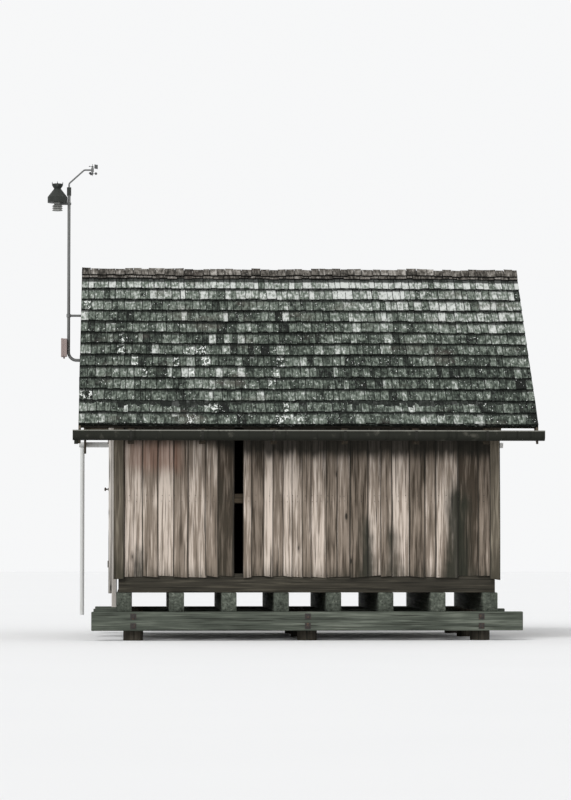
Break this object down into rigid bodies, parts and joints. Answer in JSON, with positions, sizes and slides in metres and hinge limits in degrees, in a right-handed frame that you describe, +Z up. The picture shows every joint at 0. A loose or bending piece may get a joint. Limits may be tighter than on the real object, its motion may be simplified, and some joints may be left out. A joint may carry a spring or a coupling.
{
  "type": "timber hut on piles",
  "caption": "Small timber hut on piles with upright boarding, a steep shingled gable roof, gutters, a boarded door and a weather mast.",
  "frame": {"origin": "foot of the centre pile at the water line, in the middle of the hut's length and depth", "axes": "X along the ridge, with the door and mast gable at -X; +Y from the pictured long wall to the back; +Z up"},
  "size_m": [5.274, 3.8212, 5.227],
  "materials": {
    "weathered_boards": "upright rough-sawn boards, bare, weathered silver grey to brown",
    "dark_boards": "rough-sawn boards, stained dark olive brown",
    "pale_boards": "planed boards, bare, weathered pale silver grey",
    "frame_timber": "sawn timber, aged brown, bare",
    "wet_timber": "heavy sawn timber, damp, grey green with algae",
    "pile_timber": "round timber, dark and wet",
    "roof_shingles": "split wooden shingles, dark green grey with silver and lichen",
    "roof_timber": "sawn roof boards and rafters, aged brown",
    "floor_timber": "worn floor boards, bare",
    "gutter_dark": "sheet metal, dark grey, dull, with a worn rim",
    "gutter_pale": "plastic, pale grey, matt and slightly dirty",
    "strap_metal": "bent flat steel, dull dark grey",
    "hinge_iron": "iron, black paint worn to rust at the edges",
    "mast_steel": "galvanised steel tube, dull grey",
    "box_plastic": "plastic housing, faded pinkish grey",
    "instrument_black": "black plastic, dull",
    "instrument_white": "pale plastic plates, dull and dusty",
    "instrument_grey": "dark grey plastic, dull"
  },
  "bodies": {
    "hut": {"piles": "pile_timber", "walings": "wet_timber", "floor_joists": "wet_timber", "long_sills": "wet_timber", "gable_sills": "wet_timber", "floor_boards": "floor_timber", "wall_posts": "frame_timber", "wall_rails": "frame_timber", "wall_plates": "frame_timber", "tie_beams": "frame_timber", "king_posts": "frame_timber", "ridge_beam": "roof_timber", "front_rafters": "roof_timber", "back_rafters": "roof_timber", "front_roof_boards": "roof_timber", "back_roof_boards": "roof_timber", "front_shingles": "roof_shingles", "back_shingles": "roof_shingles", "ridge_cap": "roof_shingles", "left_bargeboards": "dark_boards", "right_bargeboards": "dark_boards", "front_wall_left": "weathered_boards", "front_wall_right": "weathered_boards", "back_wall": "weathered_boards", "right_gable_wall": "weathered_boards", "left_gable_wall_front": "weathered_boards", "left_gable_wall_back": "weathered_boards", "left_gable_wall_top": "weathered_boards", "corner_boards": "dark_boards", "door_jambs": "pale_boards", "door_head_and_threshold": "pale_boards", "door_pintles": "hinge_iron", "front_gutter": "gutter_dark", "back_gutter": "gutter_pale", "gutter_straps": "strap_metal", "downpipe": "gutter_pale", "mast": "mast_steel", "mast_upper_arm": "mast_steel", "junction_box": "box_plastic", "sensor_bracket": "instrument_black", "rain_collector": "instrument_black", "radiation_shield": "instrument_white", "wind_arm": "instrument_grey"},
    "door": {"door_leaf": "pale_boards", "door_handle": "hinge_iron", "door_hinges": "hinge_iron"},
    "cup_rotor": {"wind_cups": "instrument_grey"},
    "vane": {"wind_vane": "instrument_grey"}
  },
  "joints": [
    {"name": "door_hinge", "type": "hinge", "parent": "hut", "child": "door", "pos_m": [-2.118, 0.466, 1.463], "axis": [0, 0, -1], "range_deg": [0, 105]},
    {"name": "cup_spin", "type": "hinge", "parent": "hut", "child": "cup_rotor", "pos_m": [-2.304, 0, 5.121], "axis": [0, 0, 1], "continuous": true},
    {"name": "vane_turn", "type": "hinge", "parent": "hut", "child": "vane", "pos_m": [-2.304, 0, 5.196], "axis": [0, 0, 1], "continuous": true}
  ]
}
